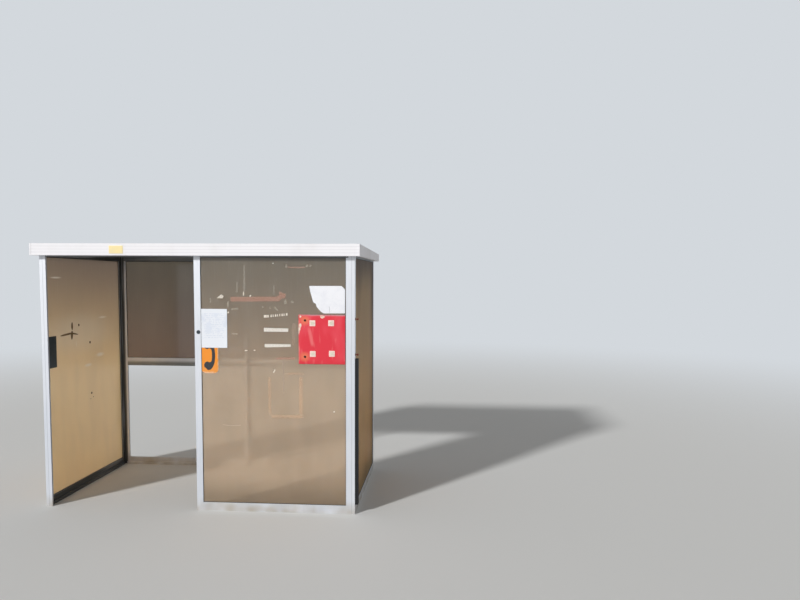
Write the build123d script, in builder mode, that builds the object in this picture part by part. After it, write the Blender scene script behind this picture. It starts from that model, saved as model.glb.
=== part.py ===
"""Bus shelter: an aluminium frame of hollow sections with clear plastic glazing.

Two bays long. The left bay of the front is the entrance, the right bay is glazed,
both ends are glazed and the back is glazed above its mid rails only.
Millimetres, +X to the right along the front, +Y to the back, +Z up. The origin lies
on the ground at the middle of the roof's plan.
"""

import os

from build123d import *

# Frame, measured over the outer faces of the posts
frame_length = 2630
frame_depth = 1350
head_z = 2150
middle_post_offset = 17
leg_width = 53
leg_thickness = 18
wall = 2.5
corner_radius = 1.5

# Glazing channel, the same in every post, rail and bead
slot_width = 12
slot_depth = 13
panel_thickness = 6
panel_edge_gap = 2
gasket_lip = 3

# Rails and beads
top_rail_height = 48
bottom_rail_height = 70
mid_rail_height = 80
mid_rail_top_z = 1112
foot_width = 38
foot_height = 26
bead_width = 20

# Roof
overhang_end = 46
overhang_front = 55
fascia_drop = 37
fascia_height_front = 98
fascia_height_back = 70
fascia_wall = 2.5
fascia_lip = 30
fascia_flange = 28
fascia_ledge = 12
groove_count = 3
groove_height = 3
groove_depth = 0.8
roof_sheet_thickness = 4
bearer_width = 30
trim_leg = 12
trim_wall = 1.5

# Plate on the left panel, and cover strip on the outside of the front right post
plate_width = 115
plate_height = 270
plate_thickness = 4
plate_setback = 68
plate_bottom_z = 1160
strip_width = 48
strip_depth = 25
strip_wall = 2
strip_setback = 3
strip_bottom_z = 80
strip_top_z = 1285

# Places that follow from the sizes above
sill_z = bottom_rail_height
lintel_z = head_z - top_rail_height
fascia_bottom_z = head_z - fascia_drop
half_length = frame_length / 2
half_depth = frame_depth / 2
post_edge = leg_width / 2
bay_end = half_length - leg_width
side_end = half_depth - leg_width
bead_start = bay_end - bead_width
glass_plane = leg_thickness / 2
panel_reach = slot_depth - panel_edge_gap
roof_half_length = half_length + overhang_end
roof_half_depth = half_depth + overhang_front
roof_fall = (fascia_height_front - fascia_height_back) / (2 * roof_half_depth)
sheet_half_length = roof_half_length - trim_wall - fascia_wall
sheet_half_depth = roof_half_depth - trim_wall - fascia_wall

# Edges of the middle posts, along the front and along the back
front_mid = (middle_post_offset - post_edge, middle_post_offset + post_edge)
back_mid = (-middle_post_offset - post_edge, -middle_post_offset + post_edge)

# Each side of the frame: middle of its outer line, direction along it, direction inward
up = Vector(0, 0, 1)
sides = {
    "front": (Vector(0, -half_depth, 0), Vector(1, 0, 0), Vector(0, 1, 0)),
    "right": (Vector(half_length, 0, 0), Vector(0, 1, 0), Vector(-1, 0, 0)),
    "back": (Vector(0, half_depth, 0), Vector(-1, 0, 0), Vector(0, -1, 0)),
    "left": (Vector(-half_length, 0, 0), Vector(0, -1, 0), Vector(1, 0, 0)),
}
half_run = {"front": half_length, "right": half_depth, "back": half_length, "left": half_depth}
roof_half_run = {
    "front": roof_half_length,
    "right": roof_half_depth,
    "back": roof_half_length,
    "left": roof_half_depth,
}
overhang = {
    "front": overhang_front,
    "right": overhang_end,
    "back": overhang_front,
    "left": overhang_end,
}


def place(side, s, t, z):
    """Point at s along a side, t inward of its outer line and z above the ground."""
    middle, along, inward = sides[side]
    return middle + along * s + inward * t + up * z


def plan_plane(side, s, t, z):
    """Level plane: x along the side, y inward."""
    return Plane(origin=place(side, s, t, z), x_dir=sides[side][1], z_dir=up)


def section_plane(side, s, t, z):
    """Plane across a run along the side: x inward, y up."""
    return Plane(origin=place(side, s, t, z), x_dir=sides[side][2], z_dir=sides[side][1])


def face_plane(side, s, t, z):
    """Upright plane that faces outward: x along the side, y up."""
    along = sides[side][1]
    return Plane(origin=place(side, s, t, z), x_dir=along, z_dir=along.cross(up))


def roof_z(y, below=0):
    """Height of the roof's top face at y, or of a layer that lies below it."""
    return fascia_bottom_z + fascia_height_front - (y + roof_half_depth) * roof_fall - below


def save(piece, name):
    """Label a finished piece and write it to its own file."""
    piece.part.label = name
    export_step(piece.part, f"parts/{name}.step")


def block(x0, x1, y0, y1, mode=Mode.ADD):
    """Rectangle between two corners, inside a sketch."""
    with Locations(((x0 + x1) / 2, (y0 + y1) / 2)):
        Rectangle(x1 - x0, y1 - y0, mode=mode)


def layer(to_y, x0, x1, below, thickness):
    """Slice of a sloping layer of the roof, in a sketch where to_y turns x into the place along Y."""
    Polygon(
        (x0, roof_z(to_y(x0), below + thickness)),
        (x1, roof_z(to_y(x1), below + thickness)),
        (x1, roof_z(to_y(x1), below)),
        (x0, roof_z(to_y(x0), below)),
        align=None,
    )


def corner_post(name, side):
    """Hollow L-shaped post where a side starts, with a glazing channel in the tip of each leg."""
    slot_edge = (leg_thickness - slot_width) / 2
    hollow_end = leg_width - slot_depth - wall
    with BuildPart() as post:
        with BuildSketch(plan_plane(side, -half_run[side], 0, 0)):
            block(0, leg_width, 0, leg_thickness)
            block(0, leg_thickness, 0, leg_width)
            block(wall, hollow_end, wall, leg_thickness - wall, Mode.SUBTRACT)
            block(wall, leg_thickness - wall, wall, hollow_end, Mode.SUBTRACT)
            block(leg_width - slot_depth, leg_width, slot_edge, slot_edge + slot_width, Mode.SUBTRACT)
            block(slot_edge, slot_edge + slot_width, leg_width - slot_depth, leg_width, Mode.SUBTRACT)
        extrude(amount=head_z)
        outer_corner = place(side, -half_run[side], 0, head_z / 2)
        fillet(post.edges().filter_by(Axis.Z).sort_by_distance(outer_corner)[0], corner_radius)
    save(post, name)


def middle_post(name, side, s):
    """Hollow T-shaped post at s: a plate with a channel in each edge, and a stiffening rib inside."""
    slot_edge = (leg_thickness - slot_width) / 2
    hollow_end = post_edge - slot_depth - wall
    rib = leg_thickness / 2
    with BuildPart() as post:
        with BuildSketch(plan_plane(side, s, 0, 0)):
            block(-post_edge, post_edge, 0, leg_thickness)
            block(-rib, rib, 0, leg_width)
            block(-hollow_end, hollow_end, wall, leg_thickness - wall, Mode.SUBTRACT)
            block(wall - rib, rib - wall, wall, leg_width - wall, Mode.SUBTRACT)
            block(-post_edge, slot_depth - post_edge, slot_edge, slot_edge + slot_width, Mode.SUBTRACT)
            block(post_edge - slot_depth, post_edge, slot_edge, slot_edge + slot_width, Mode.SUBTRACT)
        extrude(amount=head_z)
    save(post, name)


def bead(name, side, s, slot_s):
    """Upright bead beside a corner post, with a channel that starts at slot_s."""
    slot_edge = (leg_thickness - slot_width) / 2
    with BuildPart() as strip:
        with BuildSketch(plan_plane(side, 0, 0, sill_z)):
            block(s, s + bead_width, 0, leg_thickness)
            block(slot_s, slot_s + slot_depth, slot_edge, slot_edge + slot_width, Mode.SUBTRACT)
        extrude(amount=lintel_z - sill_z)
    save(strip, name)


def rail(name, side, s0, s1, bottom_z, height, slot_above, slot_below, foot=False):
    """Hollow rail between two posts, with a channel above, below or both, and a foot if it has one."""
    slot_edge = (leg_thickness - slot_width) / 2
    hollow_bottom = wall + slot_depth * slot_below
    hollow_top = height - wall - slot_depth * slot_above
    with BuildPart() as bar:
        with BuildSketch(section_plane(side, s0, 0, bottom_z)):
            block(0, leg_thickness, 0, height)
            if foot:
                block(0, foot_width, 0, foot_height)
                block(wall, foot_width - wall, wall, foot_height - wall, Mode.SUBTRACT)
            block(wall, leg_thickness - wall, hollow_bottom, hollow_top, Mode.SUBTRACT)
            if slot_above:
                block(slot_edge, slot_edge + slot_width, height - slot_depth, height, Mode.SUBTRACT)
            if slot_below:
                block(slot_edge, slot_edge + slot_width, 0, slot_depth, Mode.SUBTRACT)
        extrude(amount=s1 - s0)
    save(bar, name)


def glazing(name, side, s0, s1, z0, z1):
    """Panel and the U-shaped gasket round its edge, for a window between two posts and two rails."""
    middle = face_plane(side, (s0 + s1) / 2, glass_plane, (z0 + z1) / 2)
    width = s1 - s0
    height = z1 - z0
    panel_size = (width + 2 * panel_reach, height + 2 * panel_reach)
    with BuildPart() as panel:
        with BuildSketch(middle):
            Rectangle(*panel_size)
        extrude(amount=panel_thickness / 2, both=True)
    save(panel, f"panel_{name}")
    with BuildPart() as gasket:
        with BuildSketch(middle):
            Rectangle(width + 2 * slot_depth, height + 2 * slot_depth)
            Rectangle(width - 2 * gasket_lip, height - 2 * gasket_lip, mode=Mode.SUBTRACT)
        extrude(amount=slot_width / 2, both=True)
        with BuildSketch(middle):
            Rectangle(*panel_size)
        extrude(amount=panel_thickness / 2, both=True, mode=Mode.SUBTRACT)
    save(gasket, f"gasket_{name}")


def long_fascia(name, side):
    """Extruded fascia: grooved web, bottom lip, flange over the roof sheet and ledge under it."""
    direction = sides[side][2].Y
    outer = trim_wall - overhang_front
    web = outer + fascia_wall
    groove_pitch = fascia_height_front / (groove_count + 1)

    def to_y(t):
        return direction * (t - half_depth)

    with BuildPart() as fascia:
        with BuildSketch(section_plane(side, -sheet_half_length, 0, 0)):
            block(outer, web, fascia_bottom_z, min(roof_z(to_y(outer)), roof_z(to_y(web))))
            block(outer, outer + fascia_lip, fascia_bottom_z, fascia_bottom_z + fascia_wall)
            layer(to_y, outer, outer + fascia_flange, 0, fascia_wall)
            layer(to_y, outer, outer + fascia_ledge, fascia_wall + roof_sheet_thickness, fascia_wall)
            if side == "front":
                for k in range(groove_count):
                    z = fascia_bottom_z + groove_pitch * (k + 1)
                    block(outer, outer + groove_depth, z, z + groove_height, Mode.SUBTRACT)
        extrude(amount=2 * sheet_half_length)
    save(fascia, name)


def end_fascia(name, side):
    """Folded fascia over an end wall, tapered to the fall of the roof."""
    direction = sides[side][1].Y
    outer = trim_wall - overhang_end
    web_run = roof_half_depth - trim_wall

    def to_y(s):
        return direction * s

    with BuildPart() as fascia:
        with BuildSketch(face_plane(side, 0, outer, 0)):
            with BuildLine():
                Polyline(
                    (-web_run, fascia_bottom_z),
                    (web_run, fascia_bottom_z),
                    (web_run, roof_z(to_y(web_run))),
                    (-web_run, roof_z(to_y(-web_run))),
                    close=True,
                )
            make_face()
        extrude(amount=-fascia_wall)
        with BuildSketch(plan_plane(side, 0, outer, fascia_bottom_z)):
            block(fascia_lip - web_run, web_run - fascia_lip, 0, fascia_lip)
        extrude(amount=fascia_wall)
        with BuildSketch(face_plane(side, 0, outer, 0)):
            layer(to_y, fascia_flange - web_run, web_run - fascia_flange, 0, fascia_wall)
        extrude(amount=-fascia_flange)
        with BuildSketch(face_plane(side, 0, outer, 0)):
            below = fascia_wall + roof_sheet_thickness
            layer(to_y, fascia_ledge - web_run, web_run - fascia_ledge, below, fascia_wall)
        extrude(amount=-fascia_ledge)
    save(fascia, name)


def bearer(name, x):
    """Hollow roof bearer that runs from front to back at x, tapered to the fall of the roof."""
    under_sheet = fascia_wall + roof_sheet_thickness
    with BuildPart() as beam:
        for inset, mode in ((0, Mode.ADD), (wall, Mode.SUBTRACT)):
            with BuildSketch(Plane(origin=(x + inset, 0, 0), x_dir=(0, 1, 0), z_dir=(1, 0, 0))):
                with BuildLine():
                    Polyline(
                        (-half_depth, head_z + inset),
                        (half_depth, head_z + inset),
                        (half_depth, roof_z(half_depth, under_sheet + inset)),
                        (-half_depth, roof_z(-half_depth, under_sheet + inset)),
                        close=True,
                    )
                make_face()
            extrude(amount=bearer_width - 2 * inset, mode=mode)
    save(beam, name)


def roof_sheet():
    """Sloping sheet that lies on the bearers and in the fascias."""
    with BuildPart() as sheet:
        with BuildSketch(face_plane("right", 0, half_length + sheet_half_length, 0)):
            layer(lambda s: s, -sheet_half_depth, sheet_half_depth, fascia_wall, roof_sheet_thickness)
        extrude(amount=2 * sheet_half_length)
    save(sheet, "roof_sheet")


def fascia_corner_trims():
    """Four small angles that cover the corners of the fascia."""
    heights = {
        "front": fascia_height_front,
        "right": fascia_height_front,
        "back": fascia_height_back,
        "left": fascia_height_back,
    }
    with BuildPart() as trims:
        for side, height in heights.items():
            with BuildSketch(plan_plane(side, -roof_half_run[side], -overhang[side], fascia_bottom_z)):
                block(0, trim_leg, 0, trim_wall)
                block(0, trim_wall, 0, trim_leg)
            extrude(amount=height)
    save(trims, "fascia_corner_trims")


def side_plate():
    """Small plate on the inner face of the left panel, near the entrance."""
    inner_face = glass_plane + panel_thickness / 2
    s_front = half_depth - plate_setback
    with BuildPart() as plate:
        with BuildSketch(face_plane("left", 0, inner_face, 0)):
            block(s_front - plate_width, s_front, plate_bottom_z, plate_bottom_z + plate_height)
        extrude(amount=-plate_thickness)
    save(plate, "side_plate")


def corner_cover_strip():
    """U-shaped cover strip on the outside of the front right post."""
    s0 = strip_setback - half_depth
    s1 = s0 + strip_width
    with BuildPart() as strip:
        with BuildSketch(plan_plane("right", 0, 0, strip_bottom_z)):
            block(s0, s1, -strip_depth, 0)
            block(s0 + strip_wall, s1 - strip_wall, strip_wall - strip_depth, 0, Mode.SUBTRACT)
        extrude(amount=strip_top_z - strip_bottom_z)
    save(strip, "corner_cover_strip")


os.makedirs("parts", exist_ok=True)

corner_post("post_front_left", "front")
corner_post("post_front_right", "right")
corner_post("post_back_right", "back")
corner_post("post_back_left", "left")
middle_post("post_front_middle", "front", middle_post_offset)
middle_post("post_back_middle", "back", -middle_post_offset)

rail("top_rail_front_left", "front", -bay_end, front_mid[0], lintel_z, top_rail_height, False, True)
rail("top_rail_front_right", "front", front_mid[1], bay_end, lintel_z, top_rail_height, False, True)
rail("top_rail_back_right", "back", -bay_end, back_mid[0], lintel_z, top_rail_height, False, True)
rail("top_rail_back_left", "back", back_mid[1], bay_end, lintel_z, top_rail_height, False, True)
rail("top_rail_left", "left", -side_end, side_end, lintel_z, top_rail_height, False, True)
rail("top_rail_right", "right", -side_end, side_end, lintel_z, top_rail_height, False, True)

mid_rail_z = mid_rail_top_z - mid_rail_height
rail("mid_rail_back_right", "back", -bead_start, back_mid[0], mid_rail_z, mid_rail_height, True, True)
rail("mid_rail_back_left", "back", back_mid[1], bead_start, mid_rail_z, mid_rail_height, True, True)

rail("bottom_rail_front_right", "front", front_mid[1], bay_end, 0, bottom_rail_height, True, False, True)
rail("bottom_rail_back_right", "back", -bay_end, back_mid[0], 0, bottom_rail_height, True, False, True)
rail("bottom_rail_back_left", "back", back_mid[1], bay_end, 0, bottom_rail_height, True, False, True)
rail("bottom_rail_left", "left", -side_end, side_end, 0, bottom_rail_height, True, False, True)
rail("bottom_rail_right", "right", -side_end, side_end, 0, bottom_rail_height, True, False, True)

bead("bead_front_right", "front", bead_start, bead_start)
bead("bead_back_right", "back", -bay_end, -bead_start - slot_depth)
bead("bead_back_left", "back", bead_start, bead_start)

glazing("front", "front", front_mid[1], bead_start, sill_z, lintel_z)
glazing("left", "left", -side_end, side_end, sill_z, lintel_z)
glazing("right", "right", -side_end, side_end, sill_z, lintel_z)
glazing("back_right", "back", -bead_start, back_mid[0], mid_rail_top_z, lintel_z)
glazing("back_left", "back", back_mid[1], bead_start, mid_rail_top_z, lintel_z)

long_fascia("fascia_front", "front")
long_fascia("fascia_back", "back")
end_fascia("fascia_left", "left")
end_fascia("fascia_right", "right")
fascia_corner_trims()
bearer("roof_bearer_left", -half_length)
bearer("roof_bearer_middle", middle_post_offset - bearer_width / 2)
bearer("roof_bearer_right", half_length - bearer_width)
roof_sheet()

side_plate()
corner_cover_strip()
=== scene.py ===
"""Bus shelter: finishes, notices, boards and weather marks on the frame of its parts.

Places are in metres in the frame's axes: +X to the right along the front, +Y to the back, +Z up.
Sizes read off the object are written in millimetres and multiplied by MM.
A wall's own coordinates are (along, up, off): along the wall, up it, and outward from its face.
"""

import math
from functools import cached_property

import bpy
import numpy as np
from bpy.props import FloatProperty, FloatVectorProperty, PointerProperty
from mathutils import Matrix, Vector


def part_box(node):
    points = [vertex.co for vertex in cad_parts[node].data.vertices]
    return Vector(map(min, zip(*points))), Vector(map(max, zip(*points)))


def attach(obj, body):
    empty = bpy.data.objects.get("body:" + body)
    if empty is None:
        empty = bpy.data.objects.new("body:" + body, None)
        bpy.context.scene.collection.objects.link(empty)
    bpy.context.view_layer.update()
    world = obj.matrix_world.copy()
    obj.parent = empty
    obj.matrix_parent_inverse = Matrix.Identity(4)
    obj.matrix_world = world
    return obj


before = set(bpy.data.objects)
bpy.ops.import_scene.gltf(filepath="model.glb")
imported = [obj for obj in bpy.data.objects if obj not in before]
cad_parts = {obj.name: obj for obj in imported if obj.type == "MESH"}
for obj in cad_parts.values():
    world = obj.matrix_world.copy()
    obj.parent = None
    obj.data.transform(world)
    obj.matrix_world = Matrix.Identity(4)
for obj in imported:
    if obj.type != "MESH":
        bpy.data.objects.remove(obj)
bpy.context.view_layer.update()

bl_info = {
    "name": "Bus Shelter Finishes",
    "version": (1, 0, 0),
    "blender": (4, 5, 0),
    "location": "3D View > Sidebar > Bus Shelter",
    "description": "Dresses a glazed bus shelter with its finishes, notices, boards and weather marks",
    "category": "Add Mesh",
}

MM = 0.001
# Gap that keeps a piece off the face that carries it
SEAT = 0.15 * MM

# Unit vector along each wall: the cross product of along and up points outward
WALLS = {"front": (1, 0, 0), "right": (0, 1, 0), "back": (-1, 0, 0), "left": (0, -1, 0)}
UP = np.array([0, 0, 1.0])

# Faces that carry the pieces, read from the frame
FRONT_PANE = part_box("panel_front")[0].y
LEFT_PANE_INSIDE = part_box("panel_left")[1].x
FASCIA_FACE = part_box("fascia_front")[0].y
POST_FACES = {
    "front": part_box("post_front_middle")[0].y,
    "right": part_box("post_front_right")[1].x,
    "back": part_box("post_back_middle")[1].y,
    "left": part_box("post_front_left")[0].x,
}
MID_RAIL_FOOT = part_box("mid_rail_back_left")[0].z

# Grooves of the fascia: their pitch, and where in it the first one lies
GROOVE_PITCH = 24.5 * MM
GROOVE = (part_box("fascia_front")[0].z + 1.5 * MM) % GROOVE_PITCH

# Pale places on the left pane: Y, Z, half length and half height in mm, and how strongly they show. The small
# ones are rubbed places; the broad last one is painted light, a glow of sun through the middle of the pane
LEFT_RUBS_AND_GLOW = ((-470, 1931, 110, 11, 0.75), (290, 1550, 100, 15, 0.7), (228, 1192, 100, 26, 0.7),
               (14, 1115, 85, 20, 0.7), (-178, 1330, 8, 40, 0.5), (-120, 1420, 760, 260, 0.24))

# Left and lower edge of the notice
NOTICE_CORNER = (46 * MM, 1363 * MM)

# Camera, fitted to the edges of posts, rails and fascia: angles in radians, and lengths on the image in pixels
YAW, PITCH, ROLL = 0.0621, 0.0658, 0.0053
EYE = (2.0694, -6.0009, 1.9223)
IMAGE_WIDTH, FOCAL_LENGTH, SHIFT_RIGHT, SHIFT_UP = 800, 665.54, -7.21, 24.34
SENSOR_WIDTH = 36

FLOOR_RADIUS, FLOOR_LEVEL = 40, -0.4 * MM
BACKDROP = "D3D8DD"


def mm(places):
    """Places given in millimetres, as an array in metres."""
    return np.array(places, float) * MM


def linear(code):
    """sRGB hex value to linear RGBA: a channel up to 0.04045 is divided by 12.92, and the rest follow the
    2.4 power. A colour that is linear already passes through."""
    if not isinstance(code, str):
        return code
    channels = np.array([int(code[i:i + 2], 16) for i in (0, 2, 4)]) / 255
    curved = ((channels + 0.055) / 1.055) ** 2.4
    return (*np.where(channels <= 0.04045, channels / 12.92, curved).tolist(), 1.0)


# Shapes -------------------------------------------------------------------------------------


def skin(rings, start, end):
    """Closed surface through rings[j, k], k round the form and j from one pole to the other: its points, the
    quads that neighbours in j and k make, and the triangles that fan out from each pole to the ring beside it."""
    rows, cols = rings.shape[:2]
    j, k = np.meshgrid(np.arange(rows - 1), np.arange(cols), indexing="ij")
    a = j * cols + k
    b = j * cols + (k + 1) % cols
    quads = np.stack((a, b, b + cols, a + cols), -1).reshape(-1, 4)
    k = np.arange(cols)
    after = (k + 1) % cols
    last = (rows - 1) * cols
    first_fan = np.stack((np.full(cols, rows * cols), after, k), -1)
    last_fan = np.stack((np.full(cols, rows * cols + 1), last + k, last + after), -1)
    points = np.vstack((rings.reshape(-1, 3), [start], [end]))
    return points, quads, np.vstack((first_fan, last_fan))


def eased(corners, radius, steps=6):
    """Outline of a polygon with eased corners: at each, a parabola P = (1-t)^2 A + 2t(1-t) C + t^2 B.

    C is the corner. A and B lie a radius away from it along its two edges, or 0.45 of an edge if that is less.
    """
    corner = np.array(corners, float)[:, None]
    ends = []
    for side in (1, -1):
        edge = np.roll(corner, side, 0) - corner
        ends.append(corner + edge * np.minimum(radius / np.linalg.norm(edge, axis=-1, keepdims=True), 0.45))
    t = np.linspace(0, 1, steps)[None, :, None]
    return ((1 - t) ** 2 * ends[0] + 2 * t * (1 - t) * corner + t ** 2 * ends[1]).reshape(-1, 2)


def rectangle(x0, x1, z0, z1, radius):
    """Outline of an upright rectangle with eased corners, anticlockwise."""
    return eased([(x0, z0), (x1, z0), (x1, z1), (x0, z1)], radius)


def disc(middle, radius, steps=28):
    """Circle outline: middle + radius (cos a, sin a), anticlockwise."""
    angle = np.linspace(0, 2 * np.pi, steps, endpoint=False)
    return np.array(middle) + radius * np.stack((np.cos(angle), np.sin(angle)), -1)


def raised(outline, profile):
    """Closed form over an outline: ring j is the outline scaled about its middle by profile[j, 0]
    and lifted off the wall by profile[j, 1]; both poles lie at the middle."""
    middle = outline.mean(0)
    ring = middle + (outline - middle)[None] * profile[:, 0][:, None, None]
    lift = np.broadcast_to(profile[:, 1][:, None, None], ring.shape[:2] + (1,))
    rings = np.concatenate((ring, lift), -1)
    return skin(rings, (*middle, profile[0, 1]), (*middle, profile[-1, 1]))


def plate(outline, thickness, edge, crown=0.0, seat=SEAT):
    """Plate over an outline: straight edge, quarter round of the edge radius, then a face that rises to the
    middle by crown (1 - s^2), where s is the scale that falls from the edge to the middle."""
    reach = np.linalg.norm(outline - outline.mean(0), axis=1).mean()
    turn = np.linspace(0, np.pi / 2, 4)
    rim = np.stack((1 - edge / reach * (1 - np.cos(turn)), thickness - edge + edge * np.sin(turn)), -1)
    scale = np.linspace(rim[-1, 0], 0.04, 7)[1:]
    face = np.stack((scale, thickness + crown * (1 - scale ** 2)), -1)
    return raised(outline, np.vstack(([[1, 0]], rim, face)) + [0, seat])


def head(place, diameter, turn, steps, height, wall, sunk, sides=28, seat=SEAT):
    """Head of a screw or rivet, its heights in mm: an upright wall, a dome whose radius falls with the cosine
    of an angle and which rises by the height times its sine, and a middle that is sunk below the dome."""
    angle = np.linspace(0, turn * np.pi, steps)
    dome = np.stack((np.cos(angle), height * np.sin(angle) + wall), -1)
    profile = np.vstack(([[1, 0]], dome, sunk)) * [1, MM] + [0, seat]
    return raised(disc(place, diameter / 2, sides), profile)


def curve_through(points):
    """Smooth line through points of any number of columns: Catmull-Rom spans of 8 steps, each a cubic of its
    four nearest points."""
    p = np.vstack((2 * points[0] - points[1], points, 2 * points[-1] - points[-2]))
    a, b, c, d = (p[i:len(p) - 3 + i, None] for i in range(4))
    t = np.linspace(0, 1, 8, endpoint=False)[None, :, None]
    spans = 0.5 * (2 * b + (c - a) * t + (2 * a - 5 * b + 4 * c - d) * t ** 2 + (3 * b - a - 3 * c + d) * t ** 3)
    return np.vstack((spans.reshape(-1, p.shape[1]), p[-2]))


def strip(path, width, thickness, flat=0.35, seat=SEAT):
    """Closed strip along a path on the wall. Its section is a superellipse: width/2 |cos a|^flat across the
    path by thickness/2 (1 + |sin a|^flat sign) off the wall. It ends in a pole at each end."""
    width = np.broadcast_to(width, len(path))[:, None]
    ahead = np.gradient(path, axis=0)
    ahead /= np.linalg.norm(ahead, axis=1, keepdims=True)
    across = np.stack((-ahead[:, 1], ahead[:, 0]), -1)
    angle = np.linspace(0, 2 * np.pi, 12, endpoint=False)
    cos, sin = (np.sign(f) * np.abs(f) ** flat for f in (np.cos(angle), np.sin(angle)))
    plan = path[:, None] + across[:, None] * (width / 2 * cos)[..., None]
    lift = np.broadcast_to(thickness / 2 * (1 + sin)[None, :, None], plan.shape[:2] + (1,)) + seat
    middle = thickness / 2 + seat
    return skin(np.concatenate((plan, lift), -1), (*path[0], middle), (*path[-1], middle))


def paper(x0, x1, z0, z1, thickness, lift):
    """Thin sheet: front and back are one grid over u and v in 0..1, lifted off the wall by lift(u, v) and a
    thickness apart, and joined all round."""
    v, u = np.meshgrid(np.linspace(0, 1, 28), np.linspace(0, 1, 18), indexing="ij")
    back = np.stack((x0 + (x1 - x0) * u, z0 + (z1 - z0) * v, lift(u, v) + SEAT), -1)
    front = back + np.array([0, 0, thickness])
    rings = np.concatenate((front, back[:, ::-1]), 1)
    return skin(rings, rings[0].mean(0), rings[-1].mean(0))


def on_wall(shape, wall, face):
    """Shape in wall coordinates to X, Y, Z: face is where the wall's face lies on the axis across it."""
    points, *faces = shape
    along = np.array(WALLS[wall])
    outward = np.cross(along, UP)
    placed = np.abs(outward) * face + points[:, :1] * along + points[:, 1:2] * UP + points[:, 2:] * outward
    return placed, *faces


def put(name, shapes, material, slot, wall="front", face=FRONT_PANE):
    """Join closed shapes on a wall, or placed ones if wall is None, into one object at the origin that rides
    on the root body. Edges that turn by more than 40 degrees stay sharp."""
    points, faces, count = [], [], 0
    for shape in shapes:
        placed, quads, fans = on_wall(shape, wall, face) if wall else shape
        faces += (quads + count).tolist() + (fans + count).tolist()
        points.append(placed)
        count += len(placed)
    mesh = bpy.data.meshes.new(name)
    mesh.from_pydata(np.vstack(points).tolist(), [], faces)
    mesh.polygons.foreach_set("use_smooth", [True] * len(faces))
    mesh.set_sharp_from_angle(angle=math.radians(40))
    mesh.materials.append(material)
    piece = bpy.data.objects.new(name, mesh)
    bpy.context.scene.collection.objects.link(piece)
    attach(piece, "root")


# Materials ----------------------------------------------------------------------------------


class Nodes:
    """The shader nodes of a material or a world."""

    def __init__(self, owner):
        owner.use_nodes = True
        self.tree = owner.node_tree
        self.tree.nodes.clear()

    def add(self, kind, inputs=None, out=0, **settings):
        """Add one node and return one of its outputs: settings go on the node, and inputs gives each input a
        value or another node's output."""
        made = self.tree.nodes.new("ShaderNode" + kind)
        for key, value in settings.items():
            setattr(made, key, value)
        for key, value in (inputs or {}).items():
            if isinstance(value, bpy.types.NodeSocket):
                self.tree.links.new(value, made.inputs[key])
            else:
                made.inputs[key].default_value = value
        return made.outputs[out] if made.outputs else None


class Finish(Nodes):
    """A material with one Principled shader, whose colour is laid in layers over object space.

    A factor is a number or an output that says from 0 to 1 how much of a layer shows.
    """

    def __init__(self, name, base):
        self.material = bpy.data.materials.new(name)
        super().__init__(self.material)
        self.place = self.add("TexCoord", out="Object")
        self.colour = linear(base)

    @cached_property
    def xyz(self):
        """The object coordinates in metres, by the letter of their axis."""
        return self.add("SeparateXYZ", {0: self.place}).node.outputs

    def rise(self, value, low, high):
        """Smooth step of a value: 0 at low and 1 at high."""
        return self.add("MapRange", {"Value": value, "From Min": low, "From Max": high},
                        interpolation_type="SMOOTHSTEP")

    def between(self, value, start, full, fade, end):
        """Smooth steps of a value: 0 up to start, 1 from full to fade, and 0 again from end."""
        return self.share(self.rise(value, start, full), self.rise(value, end, fade))

    def noise(self, size, stretch=(1, 1, 1), low=0.4, high=0.6, detail=3.0):
        """Soft patches about size metres across: the noise gives 0 at low and 1 at high. They run long on an
        axis whose stretch is small."""
        place = self.add("Mapping", {"Vector": self.place, "Scale": stretch})
        return self.rise(self.add("TexNoise", {"Vector": place, "Scale": 1 / size, "Detail": detail}), low, high)

    def patch(self, middle, reach):
        """Soft oval: 1 in its middle, and 0 where the offset divided by the reach, axis by axis, is 1 long.
        An axis whose reach is infinite isn't looked at."""
        scale = 1 / np.array(reach)
        shift = -np.array(middle) * scale
        place = self.add("Mapping", {"Vector": self.place, "Scale": scale.tolist(), "Location": shift.tolist()})
        return self.rise(self.add("VectorMath", {0: place}, out="Value", operation="LENGTH"), 1.0, 0.2)

    def share(self, *factors):
        """Product of factors."""
        product = factors[0]
        for factor in factors[1:]:
            product = self.add("Math", {0: product, 1: factor}, operation="MULTIPLY")
        return product

    def cover(self, colour, *factors):
        """Lay another colour over what is there, as thick as the product of the factors."""
        layers = {0: self.share(*factors), 6: self.colour, 7: linear(colour)}
        self.colour = self.add("Mix", layers, out=2, data_type="RGBA")

    def done(self, roughness, relief=None, depth=0.0, **inputs):
        """Link the layers to the shader, with a bump of a factor depth metres deep, and return the material."""
        inputs = {key.replace("_", " "): value for key, value in inputs.items()}
        if relief is not None:
            inputs["Normal"] = self.add("Bump", {"Height": relief, "Distance": depth, "Strength": 1.0})
        shader = self.add("BsdfPrincipled", {"Base Color": self.colour, "Roughness": roughness, **inputs})
        self.add("OutputMaterial", {"Surface": shader})
        return self.material


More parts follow.
